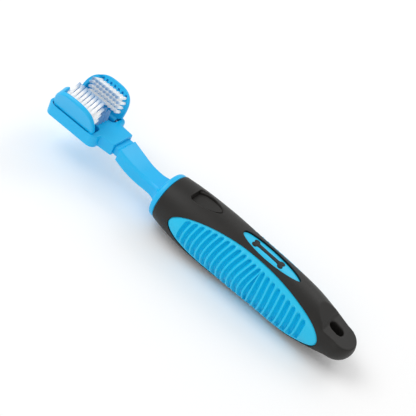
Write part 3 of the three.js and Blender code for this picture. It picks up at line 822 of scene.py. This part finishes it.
def side_pad():
    """Left pad: an arched plate with a thick rolled rim, a flat shallow face outside, a hooked lip
    round the front, a socket for every tuft, a line of empty sockets above them and a hinge barrel."""
    half = PAD["thick"] / 2
    plate = drawn_out("left_side_pad", pad_outline(0), -half, half, across="Y")
    bevel_where(plate, lambda middle, way: abs(way.y) < 0.1 and middle.y > half - 0.1
                and middle.z > PIN_BELOW_TOP, 1.2, 6)
    bevel_where(plate, lambda middle, way: abs(way.y) < 0.1 and middle.y < 0.1 - half
                and middle.z > PIN_BELOW_TOP, 0.4, 3)
    flat = [(x, z) for x, z in pad_outline(PAD_RIM) if z > PIN_BELOW_TOP + 0.5]
    cut(plate, drawn_out("face", flat, half - PAD_FACE_DEPTH, 3, across="Y"))
    foot = box_piece("foot", (PAD["foot_rear"], -half, 0), (PAD["foot_front"], half, PIN_BELOW_TOP + 0.9))
    cut(plate, foot, "UNION")
    ring = drawn_out("lip", pad_outline(0.05), -half - PAD_LIP["reach"], 0, across="Y")
    inside = [(x, z if z > PIN_BELOW_TOP else -5) for x, z in pad_outline(PAD_LIP["thick"])]
    cut(ring, drawn_out("inside_lip", inside, -20, 20, across="Y"))
    cut(ring, box_piece("lip_end", (PAD_LIP["start"], -20, PIN_BELOW_TOP + PAD_LIP["foot"]), (130, 20, 40)),
        "INTERSECT")
    cut(plate, ring, "UNION")
    cut(plate, rod_along_x("barrel", 2.0, PAD["foot_rear"], PAD["foot_front"], 0, 0, 32), "UNION")
    drills = []
    for i in range(EMPTY_SOCKETS["count"]):
        x = EMPTY_SOCKETS["rear"] + EMPTY_SOCKETS["pitch"] * i
        height = EMPTY_SOCKETS["height"] - EMPTY_SOCKETS["bow"] * (x - EMPTY_SOCKETS["middle"]) ** 2
        drills.append(drill_bit(EMPTY_SOCKETS["radius"], 3.0, (x, -half, PIN_BELOW_TOP + height), 16,
                                math.pi / 2))
    cut(plate, joined("empty_sockets", drills))
    drills = []
    for height, _, count in PAD_ROWS.values():
        for x in pad_row_places(count):
            drills.append(drill_bit(SOCKET_RADIUS, 2.2, (x, -half, PIN_BELOW_TOP + height), 16, math.pi / 2))
    cut(plate, joined("drills", drills))
    cut(plate, rod_along_x("bore", PIN_BORE, 70, 106, 0, 0))
    moulded_edges(plate, 0.22, 2)
    return plate


def leaned(piece):
    """Leans a left-hand piece outwards about the pin and sets it in place."""
    piece.rotation_euler = (-FLARE, 0, 0)
    piece.location = (0, PIN["y"] * MM, PIN["z"] * MM)
    return settle(piece)


# ---- bristles ----
TUFT_RADIUS, STRAND_RADIUS = 0.84, 0.13
GOLDEN_ANGLE = 2.39996


def make_tuft(name, length, strands, turn):
    """One tuft: tapered nylon strands set on a sunflower pattern, which fan out a little.
    It stands along Z from its root at the origin."""
    parts = []
    for k in range(strands):
        radius = TUFT_RADIUS * math.sqrt((k + 0.5) / strands)
        angle = k * GOLDEN_ANGLE + turn
        deselect()
        bpy.ops.mesh.primitive_cylinder_add(vertices=6, radius=STRAND_RADIUS * MM, depth=1.0 * MM,
                                            end_fill_type="NGON")
        strand = bpy.context.object
        reach = length + 0.22 * math.sin(k * 12.9898 + turn * 78.233)
        root = Vector((radius * math.cos(angle), radius * math.sin(angle), 0))
        fan = 1.07 + 0.06 * math.sin(k * 4.1 + turn * 9.7)
        tip = Vector((root.x * fan, root.y * fan, reach))
        for vertex in strand.data.vertices:
            upper = vertex.co.z > 0
            end = tip if upper else root
            narrow = 0.8 if upper else 1.0
            vertex.co = (end.x * MM + vertex.co.x * narrow, end.y * MM + vertex.co.y * narrow, end.z * MM)
        parts.append(strand)
    return joined(name, parts)


def row_of_tufts(name, tufts, places, seed):
    """Copies of the tufts at their places, each turned about its own length, joined in one piece."""
    parts = []
    for i, place in enumerate(places):
        made = copy_of(tufts[(i * 7 + seed) % len(tufts)], f"{name}_{i}")
        made.data.transform(Matrix.Rotation(i * 1.7 + seed, 4, "Z"))
        made.data.transform(place)
        parts.append(made)
    return joined(name, parts)


def bristles():
    for row, (row_name, y) in enumerate(CENTRE_ROWS.items()):
        tufts = [make_tuft(f"centre_tuft_{v}", 6.9, 20, v + row) for v in range(2)]
        places = [Matrix.Translation((x * MM, y * MM, (TRAY_TOP - 0.6) * MM)) for x in CENTRE_TUFTS]
        piece = row_of_tufts(f"centre_tufts_{row_name}", tufts, places, row)
        smooth(piece, 40)
        fit_out(piece, "head", CLEAR_NYLON, "clear_bristles", f"centre_row_{row_name}")
        for tuft in tufts:
            bpy.data.objects.remove(tuft)
    for row, (row_name, (height, length, count)) in enumerate(PAD_ROWS.items()):
        tufts = [make_tuft(f"pad_tuft_{v}", length + 0.5, 30, v * 2 + row) for v in range(2)]
        sideways = Matrix.Rotation(math.pi / 2 - ROW_TILT, 4, "X")
        y, z = -(PAD["thick"] / 2 - 0.4), PIN_BELOW_TOP + height
        places = [Matrix.Translation((x * MM, y * MM, z * MM)) @ sideways for x in pad_row_places(count)]
        left = leaned(row_of_tufts(f"left_tufts_{row_name}", tufts, places, row + 5))
        right = mirrored(left, f"right_tufts_{row_name}")
        for piece, side in ((left, "left"), (right, "right")):
            smooth(piece, 40)
            fit_out(piece, f"{side}_side_pad", WHITE_NYLON, "white_bristles", f"{side}_bristles_{row_name}")
        for tuft in tufts:
            bpy.data.objects.remove(tuft)


def side_pads():
    left = leaned(side_pad())
    right = mirrored(left, "right_side_pad")
    for piece, side in ((left, "left"), (right, "right")):
        smooth(piece)
        fit_out(piece, f"{side}_side_pad", BLUE, "blue_plastic", f"{side}_pad")
        y = PIN["y"] if side == "left" else -PIN["y"]
        pin = rod_along_x(f"{side}_steel_pin", PIN["radius"] - 0.02, PIN["rear"], PIN["front"], y,
                          PIN["z"], 32)
        bevel_where(pin, lambda middle, way: abs(way.x) < 0.1, 0.2, 3)
        smooth(pin, 40)
        fit_out(pin, "head", STEEL, "steel_pins", f"{side}_pad_pin")


soft_grip()
side_panels()
label()
thumb_rest()
neck()
brush_tray()
side_pads()
bristles()

# ---- floor, light and camera ----
deselect()
bpy.ops.mesh.primitive_plane_add(size=6.0, location=(0, 0, -0.0002))
floor = bpy.context.object
floor.name = "floor"
pale, tree, shader = finish_named("pale_studio_floor")
shader.inputs["Base Color"].default_value = linear("FFFFFF")
shader.inputs["Roughness"].default_value = 0.9
floor.data.materials.append(pale)

world = bpy.data.worlds.new("studio")
bpy.context.scene.world = world
world.use_nodes = True
world.node_tree.nodes["Background"].inputs["Color"].default_value = (1, 1, 1, 1)
world.node_tree.nodes["Background"].inputs["Strength"].default_value = 0.68


def soft_box(name, at, aim, size, watts):
    """A square soft light at a place, turned to a point."""
    bpy.ops.object.light_add(type="AREA", location=at)
    lamp = bpy.context.object
    lamp.name = name
    lamp.data.size = size
    lamp.data.energy = watts
    lamp.rotation_euler = (Vector(aim) - Vector(at)).to_track_quat("-Z", "Y").to_euler()


soft_box("key_light", (0.8, 0.25, 1.0), (0, 0, 0.02), 0.8, 5.5)
soft_box("back_light", (-0.1, -0.5, 0.5), (0, 0, 0.02), 0.35, 0.7)
soft_box("fill_light", (-0.2, 0.9, 0.5), (0, 0, 0.02), 0.5, 1.0)

bpy.ops.object.camera_add()
camera = bpy.context.object
right = Vector((-0.7485, -0.5589, 0.3568)).normalized()
up = Vector((0.6121, -0.3754, 0.6960))
back = right.cross(up).normalized()
up = back.cross(right).normalized()
camera.matrix_world = Matrix.Translation((-0.1343, 0.3887, 0.3553)) @ Matrix(
    (right, up, back)).transposed().to_4x4()
camera.data.sensor_width = 36.0
camera.data.lens = 86.54
camera.data.clip_start, camera.data.clip_end = 0.02, 20.0
bpy.context.scene.camera = camera
bpy.context.scene.view_settings.view_transform = "Standard"
